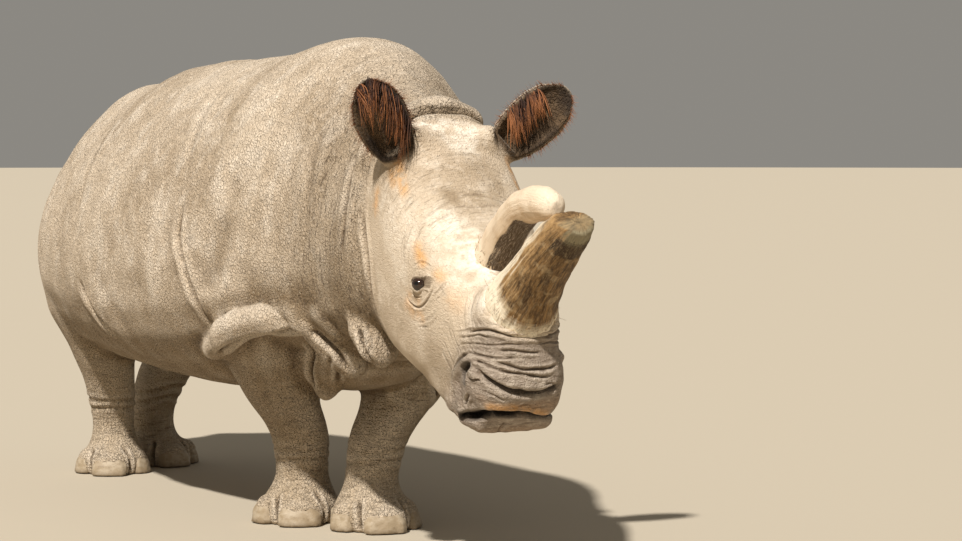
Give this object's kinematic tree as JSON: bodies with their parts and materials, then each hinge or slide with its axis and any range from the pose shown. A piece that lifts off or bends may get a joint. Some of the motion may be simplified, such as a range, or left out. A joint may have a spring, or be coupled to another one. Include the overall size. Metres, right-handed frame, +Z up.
{
  "type": "white rhinoceros figure",
  "caption": "Standing white rhinoceros with a humped nape, folded grey-tan hide, a wide square muzzle, fringed ears and horns worn blunt, its head held low and turned to its right.",
  "frame": {"origin": "floor under the middle of the figure's bounding box", "axes": "+Z up, -Y the way the animal faces, +X its own left side; +Y runs from head to tail"},
  "size_m": [1.068, 4.1998, 1.645],
  "materials": {
    "skin": "dry wrinkled hide, dusty grey-tan, matte",
    "nail": "worn toenail, pale grey-tan, matte",
    "horn": "fibrous keratin, brown with a pale base, matte",
    "eye": "wet dark eye, glossy"
  },
  "bodies": {
    "root": {"trunk": "skin", "neck": "skin", "head": "skin", "leg_front_right": "skin", "leg_front_left": "skin", "leg_hind_right": "skin", "leg_hind_left": "skin", "tail": "skin", "ear_right": "skin", "ear_left": "skin", "nail_front_right_inner": "nail", "nail_front_right_middle": "nail", "nail_front_right_outer": "nail", "nail_front_left_inner": "nail", "nail_front_left_middle": "nail", "nail_front_left_outer": "nail", "nail_hind_right_inner": "nail", "nail_hind_right_middle": "nail", "nail_hind_right_outer": "nail", "nail_hind_left_inner": "nail", "nail_hind_left_middle": "nail", "nail_hind_left_outer": "nail", "horn_front": "horn", "horn_rear": "horn", "eye_right": "eye", "eye_left": "eye"}
  },
  "joints": []
}
